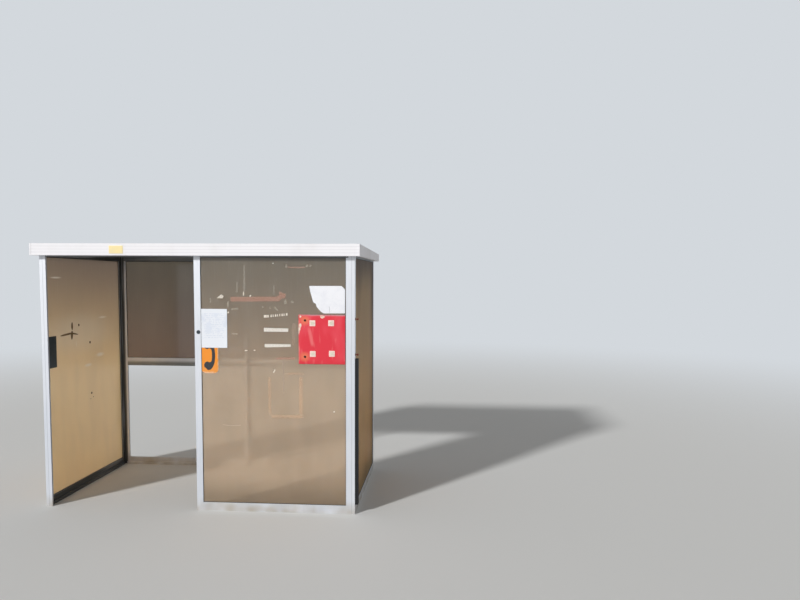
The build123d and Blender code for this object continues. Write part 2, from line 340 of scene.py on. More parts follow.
def anodised_aluminium(name, colours, run, painted_shade=0.0):
    """Extruded aluminium, clear anodised and years out of doors: a pale satin metal with fine die lines along
    its run, chalking that grows towards the ground, and soil washed up its foot. Grime lies in the shallow
    line down a corner post. Painted shade darkens the lower half of a mid rail and the inner faces of the end
    walls, and as much of the whole finish as the last argument asks, for the parts under the roof."""
    metal = Finish(name, colours.aluminium)
    height = metal.xyz["Z"]
    metal.cover("DADFE8", metal.noise(180 * MM, (1, 1, 0.4), 0.1, 0.8, detail=1), metal.rise(height, 2.1, 0.6))
    # die lines are about 0.3 mm apart, drawn 3 mm apart so that they show
    stretch = (1, 1, 0.02) if run == "Z" else (0.02, 0.02, 1)
    lines = metal.noise(3 * MM, stretch, 0.3, 0.7, detail=1)
    metal.cover("C6CAD2", lines, 0.22)
    runs = metal.noise(14 * MM, (1, 1, 0.05), 0.6, 0.8, detail=1)
    metal.cover("A6A59F", runs, 0.14)
    soil = metal.noise(120 * MM, low=0.0, high=0.9, detail=1)
    metal.cover("AA9D86", metal.rise(height, 0.13, 0.0), soil, 0.85)
    # the line is 4 mm wide, 26 mm in from the outer face
    along, across = (metal.add("Math", {0: metal.xyz[axis]}, operation="ABSOLUTE") for axis in "XY")
    line = metal.add("Math", {0: along, 1: POST_FACES["right"] - 26 * MM, 2: 2 * MM}, operation="COMPARE")
    metal.cover("8E9196", line, 0.4)
    # painted shade: the end walls' inner faces and feet, and the corner posts' legs beside them, up to the beads;
    # the last argument spreads it over the whole finish
    reach = metal.add("Math", {0: along, 1: POST_FACES["right"] - 35.5 * MM, 2: 17.6 * MM}, operation="COMPARE")
    within = metal.add("Math", {0: across, 1: POST_FACES["back"] - 17.5 * MM}, operation="LESS_THAN")
    dull = metal.add("Math", {0: metal.share(reach, within), 1: painted_shade}, operation="MAXIMUM")
    metal.cover("4E4F4D", dull, metal.noise(14 * MM, stretch, -0.1, 0.6, detail=1))
    if run == "X":
        # painted shade on the mid rails' lower half: a soft band about their lower edge
        foot, near, far = MID_RAIL_FOOT, 24 * MM, 58 * MM
        metal.cover("7A7E7D", metal.between(height, foot - far, foot - near, foot + near, foot + far), 0.9)
    satin = metal.add("MapRange", {"Value": runs, "To Min": 0.4, "To Max": 0.55}, interpolation_type="SMOOTHSTEP")
    return metal.done(satin, lines, 0.03 * MM, Metallic=0.3)


def enamelled_fascia(name, colours):
    """Stove-enamelled aluminium fascia: a clean bright white that has chalked and mirrors little, with faint
    rain runs and a thin grey tide line in its grooves."""
    enamel = Finish(name, colours.fascia)
    enamel.cover("EAE7E6", enamel.noise(240 * MM, (1, 1, 0.6), 0.45, 0.8), 0.7)
    enamel.cover("C4BEB4", enamel.noise(9 * MM, (1, 1, 0.05), 0.6, 0.8), 0.22)
    # tide lines of about 1 mm in the front grooves, drawn 5 mm wide so that they show
    pitch = enamel.add("Math", {0: enamel.xyz["Z"], 1: GROOVE_PITCH}, operation="FLOORED_MODULO")
    tide = enamel.add("Math", {0: pitch, 1: GROOVE, 2: 2.4 * MM}, operation="COMPARE")
    front = enamel.add("Math", {0: enamel.xyz["Y"], 1: FASCIA_FACE + 4 * MM}, operation="LESS_THAN")
    enamel.cover("CFCCD2", tide, front, 0.3)
    return enamel.done(0.55, enamel.noise(1.2 * MM, detail=1), 0.02 * MM, Specular_IOR_Level=0.12)


def weathered_roof(name, colours):
    """Coated roof sheet that nobody washes: chalked off-white, grey-green film in broad patches, darker specks
    of lichen, and dirt that gathers towards the low back edge."""
    sheet = Finish(name, colours.roof)
    sheet.cover("A7A697", sheet.noise(260 * MM, low=0.35, high=0.7, detail=5))
    sheet.cover("7E8068", sheet.noise(45 * MM, low=0.52, high=0.72, detail=6), 0.6)
    sheet.cover("5C5F49", sheet.noise(7 * MM, low=0.66, high=0.72), 0.8)
    sheet.cover("6E6A55", sheet.rise(sheet.xyz["Y"], 0.2, 0.75), sheet.noise(30 * MM, low=0.3, high=0.7))
    return sheet.done(0.7, sheet.noise(2 * MM), 0.15 * MM)


def hazed_polycarbonate(name, upper, lower, clear, roughness=0.1, spread=12 * MM, soil=0.5, wiped=0.09,
                        glow=None, rubs_and_glow=(), ior=1.585, **inputs):
    """Clear polycarbonate sheet, yellowed and hazed by sun and wiping: part of the light comes straight
    through as a blur of what lies behind, and the rest spreads in the sheet and glows tan. Towards the roof
    it darkens from its lower tint to its upper tint, which is painted shade of the roof; it has soft upright
    wipe marks and a little soil along its foot. A chalked pane mirrors little at a grazing angle, so its index
    is low. An end pane can have broad upright bands of painted back-light, and pale places, rubbed ones and
    painted glow: each is (Y, Z, half length, half height) in mm and a strength."""
    pane = Finish(name, upper)
    height = pane.xyz["Z"]
    # painted shade of the roof: the pane darkens from its lower tint to its upper tint towards the roof
    pane.cover(lower, pane.rise(height, 2.25, 0.9))
    if glow:
        # painted light: broad upright bands where light comes through the pane from behind, kept out of the top
        # under the roof
        bands = pane.noise(420 * MM, (1, 1, 0.2), 0.4, 0.62, detail=0)
        pane.cover(glow, bands, pane.rise(height, 2.15, 1.75), 0.6)
    # wipe marks are a few tenths of a millimetre wide, drawn 12 mm wide so that they show
    pane.cover("DDD2BE", pane.noise(12 * MM, (1, 1, 0.06), 0.5, 0.8, detail=1), wiped)
    pane.cover("A5937A", pane.noise(160 * MM, (1, 1, 0.35), 0.35, 0.7, detail=1), 0.13)
    pane.cover("8A7C64", pane.rise(height, 0.32, 0.06), soil)
    # pale places: the small ones rubbed, the broad one painted glow of light through the pane
    for y, z, long, high, strength in rubs_and_glow:
        pane.cover("FFF0DC", pane.patch(mm((0, y, z)), mm((np.inf, long, high))), strength)
    return pane.done(roughness, Transmission_Weight=clear, IOR=ior, Subsurface_Weight=1.0,
                     Subsurface_Scale=spread, Subsurface_Radius=(1.0, 0.9, 0.8), **inputs)


def dusty_rubber(name, colours):
    """Extruded EPDM glazing gasket: soft matt black that has greyed, with dust and a little algae on it."""
    seal = Finish(name, colours.rubber)
    seal.cover("4C4942", seal.noise(20 * MM, low=0.45, high=0.75))
    seal.cover("5A5B43", seal.noise(6 * MM, low=0.6, high=0.75), 0.5)
    return seal.done(0.62, seal.noise(1.5 * MM), 0.05 * MM)


def painted_sheet(name, base, worn, scuff, roughness=0.4, **inputs):
    """Painted or enamelled sheet: even colour with slight fading in patches, pale rubbed scuffs and fine grain."""
    paint = Finish(name, base)
    paint.cover(worn, paint.noise(50 * MM, low=0.4, high=0.75), 0.6)
    paint.cover(scuff, paint.noise(5 * MM, (1, 1, 0.3), 0.64, 0.74), 0.5)
    return paint.done(roughness, paint.noise(1.0 * MM, detail=1), 0.015 * MM, **inputs)


def printed_notice(name, colours, x0, x1, z0, z1):
    """Office paper behind a laminate: bright white with a slight sheen, a little bluish, with pale grey rows
    where small print has faded, broken up as rows of print are. Its margins stay bare."""
    sheet = Finish(name, colours.notice)
    height = sheet.xyz["Z"]
    # rows of print are 5 mm apart, drawn 15 mm apart so that they show
    pitch = sheet.add("Math", {0: height, 1: 15 * MM}, operation="FLOORED_MODULO")
    rows = sheet.between(pitch, 3 * MM, 6 * MM, 9 * MM, 12 * MM)
    words = sheet.noise(11 * MM, (1, 1, 0.6), 0.4, 0.6, detail=1)
    inside = sheet.between(sheet.xyz["X"], x0 + 20 * MM, x0 + 30 * MM, x1 - 35 * MM, x1 - 20 * MM)
    band = sheet.between(height, z0 + 70 * MM, z0 + 75 * MM, z1 - 40 * MM, z1 - 30 * MM)
    sheet.cover("B4C0D6", rows, words, inside, band, 0.4)
    sheet.cover("E2E7F1", band, sheet.noise(50 * MM, low=0.45, high=0.7, detail=1))
    return sheet.done(0.32, Coat_Weight=0.4, Coat_Roughness=0.12)


def rusty_steel(name, base, crust):
    """Zinc-plated steel screw that has rusted: dark brown-red crust with a dull metal core showing through."""
    steel = Finish(name, base)
    steel.cover(crust, steel.noise(2 * MM, low=0.45, high=0.7))
    steel.cover("38302C", steel.noise(3 * MM, low=0.6, high=0.7), 0.5)
    return steel.done(0.75, steel.noise(0.8 * MM), 0.1 * MM, Metallic=0.3)


def residue(name, colour, other, roughness=0.65, **inputs):
    """Dried adhesive, tape or paper pulp left on a pane: matt, blotchy and broken at its edges."""
    crust = Finish(name, colour)
    crust.cover(other, crust.noise(8 * MM, low=0.4, high=0.65))
    return crust.done(roughness, crust.noise(2 * MM), 0.1 * MM, **inputs)


# Settings -----------------------------------------------------------------------------------


def length(name, description, default):
    """A length that the sidebar shows, with its default in mm."""
    return FloatProperty(name=name, description=description, default=default * MM, min=0.0, unit="LENGTH",
                         subtype="DISTANCE")


def paint(name, description, code):
    """A colour that the sidebar shows."""
    return FloatVectorProperty(name=name, description=description, default=linear(code), size=4, min=0, max=1,
                               subtype="COLOR")


def angle(name, description, degrees):
    """An angle that the sidebar shows."""
    return FloatProperty(name=name, description=description, default=math.radians(degrees), subtype="ANGLE")


class ShelterSizes(bpy.types.PropertyGroup):
    """Sizes of the pieces that dress the shelter."""

    notice_width: length("Notice width", "Width of the notice on the front pane", 216)
    notice_height: length("Notice height", "Height of the notice on the front pane", 319)
    sticker_width: length("Sticker width", "Width of the telephone sticker", 141)
    sticker_height: length("Sticker height", "Height of the telephone sticker", 296)
    board_width: length("Board width", "Width of the red board", 382)
    board_height: length("Board height", "Height of the red board", 402)
    board_thickness: length("Board thickness", "Thickness of the red board", 5)
    pad_size: length("Pad size", "Side of the pads on the red board", 48)
    fascia_plate_width: length("Fascia plate width", "Width of the yellow plate", 117)
    fascia_plate_height: length("Fascia plate height", "Height of the yellow plate", 64)
    plug_diameter: length("Plug diameter", "Diameter of the plug in the middle post", 32)
    screw_diameter: length("Screw diameter", "Diameter of the board's screw heads", 19)
    rivet_diameter: length("Rivet diameter", "Diameter of the rivet heads in the frame", 8)


class ShelterColours(bpy.types.PropertyGroup):
    """Main colours of the shelter."""

    aluminium: paint("Aluminium", "Clean anodised metal", "EAECF1")
    fascia: paint("Fascia", "Enamel of the fascia", "F7F5F7")
    roof: paint("Roof", "Coating of the roof sheet", "CFCDC2")
    # The pane tints hold light and shade: each upper tint is darker than its lower one by painted shade of the
    # roof; the left pane's tints are lighter by painted light from the sun behind it, and the back and right
    # panes' darker by painted shade
    pane_upper: paint("Front pane, upper", "Tint of the front pane near the roof", "ACA394")
    pane_lower: paint("Front pane, lower", "Tint of the front pane below", "E1CBB2")
    back_upper: paint("Back panes, upper", "Tint of the back panes near the roof", "7C7264")
    back_lower: paint("Back panes, lower", "Tint of the back panes below", "927867")
    left_upper: paint("Left pane, upper", "Tint of the left pane near the roof", "938174")
    left_lower: paint("Left pane, lower", "Tint of the left pane below", "FFD7A2")
    right_upper: paint("Right pane, upper", "Tint of the right pane near the roof", "54443A")
    right_lower: paint("Right pane, lower", "Tint of the right pane below", "C89F6E")
    rubber: paint("Rubber", "Glazing gaskets", "2C2B29")
    dark_plate: paint("Dark plate", "Plate inside the left pane", "343F45")
    cover: paint("Cover strip", "Strip on the right post", "17181A")
    notice: paint("Notice", "Paper of the notice", "EEF1F7")
    sticker: paint("Sticker", "Ground of the telephone sticker", "F7962A")
    handset: paint("Handset", "Sign on the telephone sticker", "303236")
    board: paint("Red board", "Face of the red board", "E22A3C")
    pad: paint("Pads", "Foam pads on the red board", "FAE2D8")
    sign: paint("White sign", "Broken white sign plate", "F5F5F9")
    fascia_plate: paint("Fascia plate", "Small plate on the fascia", "FCE8AC")
    rust: paint("Rust", "Screw heads", "22110E")


class ShelterLight(bpy.types.PropertyGroup):
    """Studio light."""

    key_strength: FloatProperty(name="Key strength", description="Strength of the key light", default=2.65, min=0)
    key_height: angle("Key height", "Angle of the key above the floor", 26)
    key_turn: angle("Key turn", "Angle of the key to the left of the view from the front", 39)
    key_softness: angle("Key softness", "Apparent size of the key light", 5)
    fill_strength: FloatProperty(name="Fill strength", description="Strength of the light from all round",
                                 default=0.28, min=0)


def settings(context):
    """Sizes and colours that the operators use."""
    return context.scene.shelter_sizes, context.scene.shelter_colours


# Operators ----------------------------------------------------------------------------------


class SHELTER_OT_frame(bpy.types.Operator):
    """Give the frame's own parts their metal, enamel, glazing and rubber"""

    bl_idname = "bus_shelter.frame"
    bl_label = "Frame Finishes"

    def execute(self, context):
        colours = context.scene.shelter_colours
        upright = anodised_aluminium("anodised_aluminium_upright", colours, "Z")
        level = anodised_aluminium("anodised_aluminium_level", colours, "X")
        # the rails and bearers under the roof take painted shade all over
        painted_shade_metal = anodised_aluminium("anodised_aluminium_painted_shade", colours, "X", 0.85)
        finishes = {
            "post_": upright,
            "bead_": upright,
            "top_rail_": painted_shade_metal,
            "mid_rail_": level,
            "bottom_rail_": level,
            "roof_bearer_": painted_shade_metal,
            # the pane finishes are one polycarbonate: the left one is lightened with painted light, the right and
            # back ones darkened with painted shade
            "panel_left": hazed_polycarbonate(
                "hazed_polycarbonate_left_painted_light", colours.left_upper, colours.left_lower, 0.85, 0.3,
                spread=40 * MM, soil=0.1, rubs_and_glow=LEFT_RUBS_AND_GLOW, Specular_IOR_Level=0.2),
            # the right pane's bands of glow are painted back-light
            "panel_right": hazed_polycarbonate(
                "hazed_polycarbonate_right_painted_shade", colours.right_upper, colours.right_lower, 0.6, 0.35,
                ior=1.08, glow="E0BC88", Specular_IOR_Level=0.0),
            "panel_back": hazed_polycarbonate(
                "hazed_polycarbonate_back_painted_shade", colours.back_upper, colours.back_lower, 0.75,
                wiped=0.03, Specular_IOR_Level=0.2),
            "panel_": hazed_polycarbonate(
                "hazed_polycarbonate", colours.pane_upper, colours.pane_lower, 0.64, wiped=0.12),
            "gasket_": dusty_rubber("epdm_gasket", colours),
            "fascia_": enamelled_fascia("stove_enamelled_fascia", colours),
            "roof_sheet": weathered_roof("weathered_roof_sheet", colours),
            "side_plate": painted_sheet("dark_enamelled_plate", colours.dark_plate, "414C52", "5E686E"),
            "corner_cover_strip": painted_sheet("black_pvc_strip", colours.cover, "1C1D1F", "2E2F32", 0.6,
                                                Specular_IOR_Level=0.3),
        }
        for name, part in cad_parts.items():
            finish = next((m for start, m in finishes.items() if name.startswith(start)), None)
            if finish is None:
                raise RuntimeError(f"no finish for {name}")
            for material_slot in part.material_slots:
                material_slot.material = finish
        return {"FINISHED"}


class SHELTER_OT_notice(bpy.types.Operator):
    """Notice sheet on the front pane: its lower right corner lifts a little"""

    bl_idname = "bus_shelter.notice"
    bl_label = "Notice"

    def execute(self, context):
        sizes, colours = settings(context)
        x0, z0 = NOTICE_CORNER
        edges = x0, x0 + sizes.notice_width, z0, z0 + sizes.notice_height

        def lift(u, v):
            """Corner curl: 10 mm times the square of how far a point lies past the line towards that corner,
            with a slight wave of 0.8 mm across the sheet."""
            corner = np.clip(u - v - 0.45, 0, None)
            return 10 * MM * corner ** 2 + 0.8 * MM * (0.6 + 0.4 * np.sin(5 * u + 3 * v))

        # the notice hangs over the top of the sticker, so it stands 2 mm off the pane
        put("notice", [paper(*edges, 0.5 * MM, lift)], printed_notice("laminated_paper", colours, *edges),
            "fascia_white", face=FRONT_PANE - 2 * MM)
        return {"FINISHED"}


class SHELTER_OT_sticker(bpy.types.Operator):
    """Telephone sticker under the notice: an orange ground with a dark handset"""

    bl_idname = "bus_shelter.sticker"
    bl_label = "Telephone Sticker"

    def execute(self, context):
        sizes, colours = settings(context)
        x0, z0 = mm((43, 1152))
        x1, z1 = x0 + sizes.sticker_width, z0 + sizes.sticker_height
        # printed vinyl film: an even satin orange, bleached towards its foot, and pale along its lower and right
        # rim where it has lifted: partly worn film, partly painted highlight of the lifted rim catching the light
        orange = Finish("orange_vinyl", colours.sticker)
        height = orange.xyz["Z"]
        orange.cover("F0A052", orange.rise(height, 1260 * MM, 1180 * MM), 0.5)
        rim = orange.rise(height, z0 + 17 * MM, z0 + 7 * MM)
        side = orange.rise(orange.xyz["X"], x1 - 9 * MM, x1 - 3 * MM)
        lifted = orange.add("Math", {0: rim, 1: side}, operation="MAXIMUM")
        orange.cover("F4C39A", lifted, orange.noise(22 * MM, low=0.3, high=0.6))
        ground = plate(rectangle(x0, x1, z0, z1, 42 * MM), 0.9 * MM, 0.4 * MM)
        put("sticker_ground", [ground], orange.done(0.38), "fascia_white")
        # handset, as X, Z and width: mouth piece, handle down the right side, and an ear piece that mirrors
        # the mouth piece about a height of 1300 mm
        half = np.array([(66, 1207, 4), (69, 1208, 20), (76, 1211, 44), (88, 1214, 66), (106, 1215, 70),
                         (126, 1227, 44), (140, 1250, 28), (145, 1300, 27)])
        mirrored = (half * [1, -1, 1] + [0, 2600, 0])[-2::-1]
        line = curve_through(mm(np.vstack((half, mirrored))))
        handset = strip(line[:, :2], line[:, 2], 0.5 * MM, flat=0.4, seat=1.0 * MM)
        black = painted_sheet("black_vinyl", colours.handset, "3B3D41", "54565A")
        put("sticker_handset", [handset], black, "dark_plate")
        return {"FINISHED"}


class SHELTER_OT_sign(bpy.types.Operator):
    """Bare white sign plate with its lower left part broken off"""

    bl_idname = "bus_shelter.sign"
    bl_label = "White Sign"

    def execute(self, context):
        corners = mm([(1062, 1652), (1234, 1654), (1235, 1846), (1207, 1875), (942, 1874), (950, 1830),
                      (966, 1772), (976, 1740), (997, 1731), (1001, 1708), (1024, 1680), (1040, 1664)])
        white = painted_sheet("rigid_pvc_sign", context.scene.shelter_colours.sign, "E9EAF0", "D3D4DA")
        put("white_sign", [plate(eased(corners, 8 * MM, 4), 2.4 * MM, 0.6 * MM)], white, "fascia_white")
        path = curve_through(mm([(1111, 1657), (1109, 1676), (1107, 1694), (1105, 1709)]))
        crack = strip(path, 1.8 * MM, 0.3 * MM, seat=2.5 * MM)
        put("white_sign_crack", [crack], residue("dirt_in_crack", "5B5D66", "7E7F86"), "black_plastic")
        return {"FINISHED"}


class SHELTER_OT_board(bpy.types.Operator):
    """Red board with four foam pads, rusty screws and peeled spots"""

    bl_idname = "bus_shelter.board"
    bl_label = "Red Board"

    def execute(self, context):
        sizes, colours = settings(context)
        x1, z1 = mm((1236, 1641))
        x0, z0 = x1 - sizes.board_width, z1 - sizes.board_height
        top = sizes.board_thickness + SEAT
        screws = mm([(907, 1595), (906, 1298)])
        pads = mm([(968, 1572), (1121, 1574), (970, 1322), (1127, 1325)])

        red = Finish("enamelled_red_board", colours.board)
        across, height = red.xyz["X"], red.xyz["Z"]
        # stove enamel on steel, glossy under its haze: sun fades it to pink in soft patches, and it is rubbed
        # pale along the upper and left edges
        red.cover("EA4A58", red.noise(90 * MM, (1, 1, 0.4), 0.45, 0.75, detail=1), 0.6)
        red.cover("EE7B7A", red.noise(20 * MM, (1, 1, 0.2), 0.6, 0.8, detail=1), 0.3)
        # a soft rubbed streak that leans to the right on its way down: X + 0.2 Z is the same all along it
        lean = red.add("Math", {0: height, 1: 0.2, 2: across}, operation="MULTIPLY_ADD")
        streak = red.between(lean, *mm((1224.5, 1242.5, 1250.5, 1268.5)))
        red.cover("F58B88", streak, red.between(height, *mm((1370, 1410, 1500, 1550))), 0.5)
        # rust has bled from the screws into the enamel round them
        for x, z in screws:
            red.cover("EE8A5C", red.patch((x - 3 * MM, 0, z), (60 * MM, np.inf, 54 * MM)), 0.62)
        upper = red.rise(height, z1 - 14 * MM, z1 - 4 * MM)
        red.cover("C68A90", upper, red.noise(30 * MM, (0.3, 1, 1), 0.3, 0.6))
        red.cover("D89A90", red.rise(across, x0 + 12 * MM, x0), red.noise(30 * MM, (1, 1, 0.3), 0.4, 0.65))
        board = plate(rectangle(x0, x1, z0, z1, 6 * MM), sizes.board_thickness, 0.8 * MM)
        put("red_board", [board], red.done(0.38, Coat_Weight=0.3, Coat_Roughness=0.2), "dark_plate")

        def squares(half, seat):
            """A square plate on each pad's place, half wide each way."""
            return [plate(rectangle(x - half, x + half, z - half, z + half, half / 5), 1.6 * MM, 0.6 * MM,
                          seat=seat) for x, z in pads]

        put("board_pads", squares(sizes.pad_size / 2, top), residue("foam_pad", colours.pad, "EACFC2", 0.8),
            "roof_white")
        put("board_pad_middles", squares(sizes.pad_size / 4, top + 1.2 * MM),
            residue("foam_core", "DCD3BC", "E6D5C6", 0.85), "roof_white")
        # pan heads with a sunk drive
        heads = [head(place, sizes.screw_diameter, 0.45, 7, 3.6, 0.8, [[0.14, 4.2], [0.12, 2.6], [0.02, 2.4]],
                      seat=top) for place in screws]
        put("board_screws", heads, rusty_steel("rusty_screw", colours.rust, "341710"), "dark_plate")
        # paper torn off with the enamel
        torn = (
            [(855, 1478), (879, 1554), (874, 1572), (857, 1566), (854, 1530)],
            [(1032, 1620), (1046, 1609), (1061, 1616), (1073, 1626), (1050, 1638), (1034, 1636)],
            [(860, 1618), (872, 1616), (880, 1630), (864, 1636)],
        )
        chips = [plate(eased(mm(corners), 5 * MM, 4), 0.3 * MM, 0.1 * MM, seat=top) for corners in torn]
        put("board_torn_spots", chips, residue("torn_paper", "F3DECF", "E9B39F", 0.8), "fascia_white")
        return {"FINISHED"}


class SHELTER_OT_post_fittings(bpy.types.Operator):
    """Yellow plate on the fascia, plug in the middle post, bolts beside the cover strip, and frame rivets"""

    bl_idname = "bus_shelter.post_fittings"
    bl_label = "Post Fittings"

    def execute(self, context):
        sizes, colours = settings(context)
        x, z = mm((-632, 2160.5))
        w, h = sizes.fascia_plate_width / 2, sizes.fascia_plate_height / 2
        small = plate(rectangle(x - w, x + w, z - h, z + h, 3 * MM), 1.2 * MM, 0.4 * MM)
        yellow = painted_sheet("yellow_enamel_plate", colours.fascia_plate, "F3E3B4", "D8B968", 0.35)
        put("fascia_plate", [small], yellow, "fascia_white", face=FASCIA_FACE)

        # plug: flange, dished face and a raised button in its middle, as shares of its radius and heights in mm
        profile = np.array([(1, 0), (1, 1.2), (0.95, 2), (0.82, 2.3), (0.66, 1.9), (0.52, 1.3), (0.46, 1.3),
                            (0.42, 2.2), (0.3, 2.8), (0.05, 3)]) * [1, MM] + [0, SEAT]
        plug = raised(disc(mm((22.5, 1491)), sizes.plug_diameter / 2, 40), profile)
        nylon = painted_sheet("moulded_nylon_plug", "1F2C36", "3B4B57", "8C98A0", 0.45)
        put("post_plug", [plug], nylon, "black_plastic", face=POST_FACES["front"])

        # bolts that once held more of the cover strip: washer on the post, bare shank, and a hexagon head
        bolts = []
        for height in mm((1607, 1318)):
            place = (POST_FACES["front"] + 27 * MM, height)
            bolts += [plate(disc(place, 11 * MM), 1.6 * MM, 0.4 * MM),
                      plate(disc(place, 4 * MM, 16), 17 * MM, 0.5 * MM, seat=1.7 * MM),
                      plate(disc(place, 9 * MM, 6), 9 * MM, 1 * MM, 0.8 * MM, seat=16 * MM)]
        # their rust is painted lighter than the board's screws: painted light that makes up for the shade on the
        # right side of the post
        put("side_bolts", bolts, rusty_steel("rusty_bolt_painted_light", "8A463C", "A05C4C"), "dark_plate", "right",
            POST_FACES["right"])

        # blind rivets that hold the rails between the posts, two at each end: a low dome with a dimple.
        # The third word of a rail's name is its wall
        inset = 12 * MM
        rivets = []
        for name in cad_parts:
            if "_rail_" not in name:
                continue
            wall = name.split("_")[2]
            low, high = map(np.array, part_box(name))
            near, far = sorted((low @ WALLS[wall], high @ WALLS[wall]))
            middle = (low[2] + high[2]) / 2
            for place in (near + inset, far - inset):
                for level in (middle - inset, middle + inset):
                    dome = head((place, level), sizes.rivet_diameter, 0.42, 5, 1.4, 0.2,
                                [[0.2, 1.35], [0.15, 0.9], [0.03, 0.85]], sides=14)
                    rivets.append(on_wall(dome, wall, POST_FACES[wall]))
        put("frame_rivets", rivets, anodised_aluminium("aluminium_rivet", colours, "Z"), "frame_aluminium", None)
        return {"FINISHED"}


class SHELTER_OT_front_marks(bpy.types.Operator):
    """Tape, adhesive and paper left on the outside of the front pane"""

    bl_idname = "bus_shelter.front_marks"
    bl_label = "Marks on the Front Pane"

    def execute(self, context):
        def lines(name, runs, material, thickness):
            """Strips along runs given as (width, points), all in mm."""
            put(name, [strip(curve_through(mm(points)), width * MM, thickness * MM) for width, points in runs],
                material, "roof_white")

        def spots(name, outlines, material, radius=4):
            """Flat pieces over outlines, and the radius that eases their corners, all in mm."""
            put(name, [plate(eased(mm(corners), radius * MM, 4), 0.5 * MM, 0.2 * MM) for corners in outlines],
                material, "roof_white")

        spots("tape_strips", [
            [(566, 1500), (767, 1499), (769, 1527), (567, 1531)],
            [(571, 1374), (580, 1371), (787, 1377), (788, 1398), (572, 1399)],
        ], residue("double_sided_tape", "E6E0D8", "DAD2C6", 0.6))
        pulp = residue("paper_pulp", "E9E2D6", "CDC2B2", 0.8)
        # a torn row: one wide bit, then narrow ones 18 mm apart that climb a little
        row = [[(567, 1614), (608, 1616), (609, 1636), (567, 1635)]]
        for k, width in enumerate((11, 8, 12, 7, 9, 13, 8, 15)):
            x, z = 622 + 18 * k, 1618 + 1.9 * k
            row.append([(x, z), (x + width, z + 1), (x + width - 1, z + 22), (x + 1, z + 20)])
        spots("broken_paper_row", row, pulp, 2)
        spots("paper_flecks", [
            [(176, 1770), (226, 1769), (235, 1788), (216, 1801)],
            [(396, 1793), (405, 1793), (404, 1826), (398, 1824)],
            [(447, 1783), (459, 1784), (466, 1796), (455, 1797)],
            [(264, 1647), (275, 1648), (280, 1661), (266, 1660)],
            [(405, 1339), (430, 1341), (428, 1347), (407, 1346)],
            [(480, 1342), (495, 1343), (494, 1350), (481, 1349)],
            [(640, 2053), (652, 2053), (651, 2059), (642, 2058)],
            [(1137, 843), (1150, 844), (1148, 855), (1138, 854)],
            [(640, 1164), (646, 1162), (660, 1186), (653, 1190)],
        ], pulp, 2)
        # thin films of dried glue let the pane show through
        spots("glue_spots", [
            [(118, 1736), (131, 1734), (130, 1772), (120, 1770)],
            [(296, 1674), (330, 1676), (358, 1680), (356, 1690), (300, 1690)],
            [(262, 1700), (278, 1702), (276, 1748), (266, 1746)],
            [(298, 1472), (350, 1473), (346, 1486), (300, 1487)],
            [(550, 1693), (568, 1693), (566, 1704), (552, 1704)],
            [(614, 1686), (624, 1688), (622, 1704), (614, 1703)],
            [(648, 1700), (664, 1704), (688, 1674), (674, 1672)],
            [(738, 1726), (756, 1728), (754, 1762), (740, 1760)],
            [(784, 1742), (812, 1734), (822, 1744), (800, 1756)],
            [(746, 2020), (762, 2024), (760, 2046), (748, 2044)],
            [(912, 2026), (936, 2026), (934, 2046), (914, 2044)],
            [(942, 2028), (964, 2030), (960, 2046), (946, 2045)],
        ], residue("dried_glue", "CDC3B2", "B9AC98", 0.7, Alpha=0.32))
        lines("adhesive_band", [
            (38, [(293, 1763), (430, 1763), (560, 1765), (700, 1767)]),
            (40, [(694, 1775), (712, 1790), (732, 1792), (746, 1790)]),
            (26, [(700, 1806), (706, 1816), (709, 1824)]),
            (16, [(664, 1280), (740, 1282), (822, 1284)]),
            (9, [(772, 2024), (840, 2022), (908, 2023)]),
        ], residue("red_adhesive_band", "DDAC98", "D39F89", 0.6, Alpha=0.28), 0.35)
        lines("adhesive_frame", [
            (19, [(608, 1122), (609, 1000), (611, 880), (612, 816)]),
            (31, [(869, 1132), (869, 1000), (868, 880), (868, 824)]),
            (25, [(622, 802), (700, 802), (790, 804), (888, 807)]),
            (12, [(747, 1156), (820, 1157), (893, 1157)]),
        ], residue("aged_adhesive", "F3CBA6", "EDC39C", 0.6, Alpha=0.17), 0.3)
        lines("rubbed_tracks", [
            (30, [(815, 1570), (814, 1480), (814, 1394)]),
            (12, [(725, 1256), (726, 1120), (727, 990)]),
        ], residue("rubbed_pane_front", "DCC0AE", "D0B6A2", 0.7, Alpha=0.12), 0.25)
        lines("rain_tracks", [
            (16, [(409, 2039), (408, 1930), (407, 1827)]),
            (15, [(347, 1903), (346, 1860), (346, 1816)]),
            (12, [(652, 1880), (652, 1840), (652, 1803)]),
        ], residue("chalky_rain_track", "E2DDD0", "D5CDBE", 0.7, Alpha=0.1), 0.25)
        lines("front_scratches", [
            (2.6, [(217, 725), (260, 720), (310, 719), (367, 723)]),
        ], residue("scratched_pane", "DAD0BE", "C4B79F", 0.7, Alpha=0.6), 0.3)
        return {"FINISHED"}


